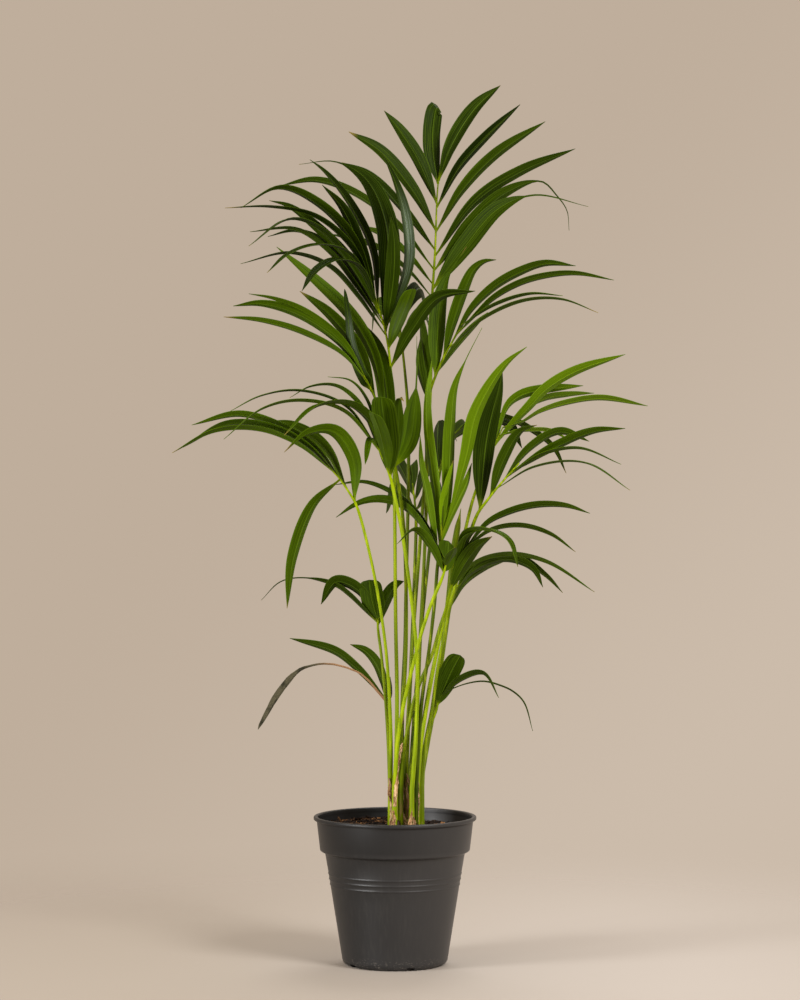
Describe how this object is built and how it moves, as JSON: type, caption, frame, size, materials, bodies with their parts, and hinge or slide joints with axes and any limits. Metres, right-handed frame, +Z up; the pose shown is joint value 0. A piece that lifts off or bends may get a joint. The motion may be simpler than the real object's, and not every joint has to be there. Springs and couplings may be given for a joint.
{
  "type": "potted palm",
  "caption": "Young Kentia-type feather palms with long slender stalks and arching dark green fronds, planted together in a plain round nursery pot.",
  "frame": {"origin": "middle of the pot's flat foot, on the surface that it stands on", "axes": "+Z up along the pot's axis, +X to the right and -Y to the front as pictured"},
  "size_m": [0.7035, 0.49, 1.306],
  "materials": {
    "pot": "satin moulded plastic, dark warm grey",
    "soil": "loose bark and coir, rough",
    "stem": "smooth leaf bases, yellow-green, tan at the foot",
    "stalk": "smooth, slightly glossy, yellow-green",
    "dark_leaf": "waxy, satin, dark green",
    "light_leaf": "waxy, satin, bright green",
    "husk": "dry fibre, papery, torn",
    "dry_leaf": "withered, dull grey-green"
  },
  "bodies": {
    "root": {"pot": "pot", "soil": "soil", "palm_1_stem": "stem", "palm_2_stem": "stem", "palm_3_stem": "stem", "palm_4_stem": "stem", "palm_5_stem": "stem", "husk_1": "husk", "husk_2": "husk", "husk_3": "husk", "husk_4": "husk", "husk_5": "husk", "stalk_crown": "stalk", "frond_crown": "dark_leaf", "stalk_upper_left": "stalk", "frond_upper_left": "dark_leaf", "stalk_upper_back": "stalk", "frond_upper_back": "dark_leaf", "stalk_upper_right": "stalk", "frond_upper_right": "dark_leaf", "stalk_middle_left": "stalk", "frond_middle_left": "dark_leaf", "stalk_centre_left": "stalk", "frond_centre_left": "dark_leaf", "stalk_far_left": "stalk", "frond_far_left": "dark_leaf", "stalk_centre": "stalk", "frond_centre": "light_leaf", "stalk_right": "stalk", "frond_right": "dark_leaf", "stalk_far_right": "stalk", "frond_far_right": "light_leaf", "stalk_back_right": "stalk", "frond_back_right": "dark_leaf", "stalk_back_left": "stalk", "frond_back_left": "dark_leaf", "stalk_lower_front": "stalk", "frond_lower_front": "dark_leaf", "stalk_lower_right": "stalk", "frond_lower_right": "dark_leaf", "stalk_low_right": "stalk", "frond_low_right": "dark_leaf", "stalk_low_left": "stalk", "frond_low_left": "dark_leaf", "stalk_bottom_left": "stalk", "frond_bottom_left": "dark_leaf", "stalk_bottom_right": "stalk", "frond_bottom_right": "dark_leaf", "dry_leaflet": "dry_leaf", "young_spear": "stalk"}
  },
  "joints": []
}
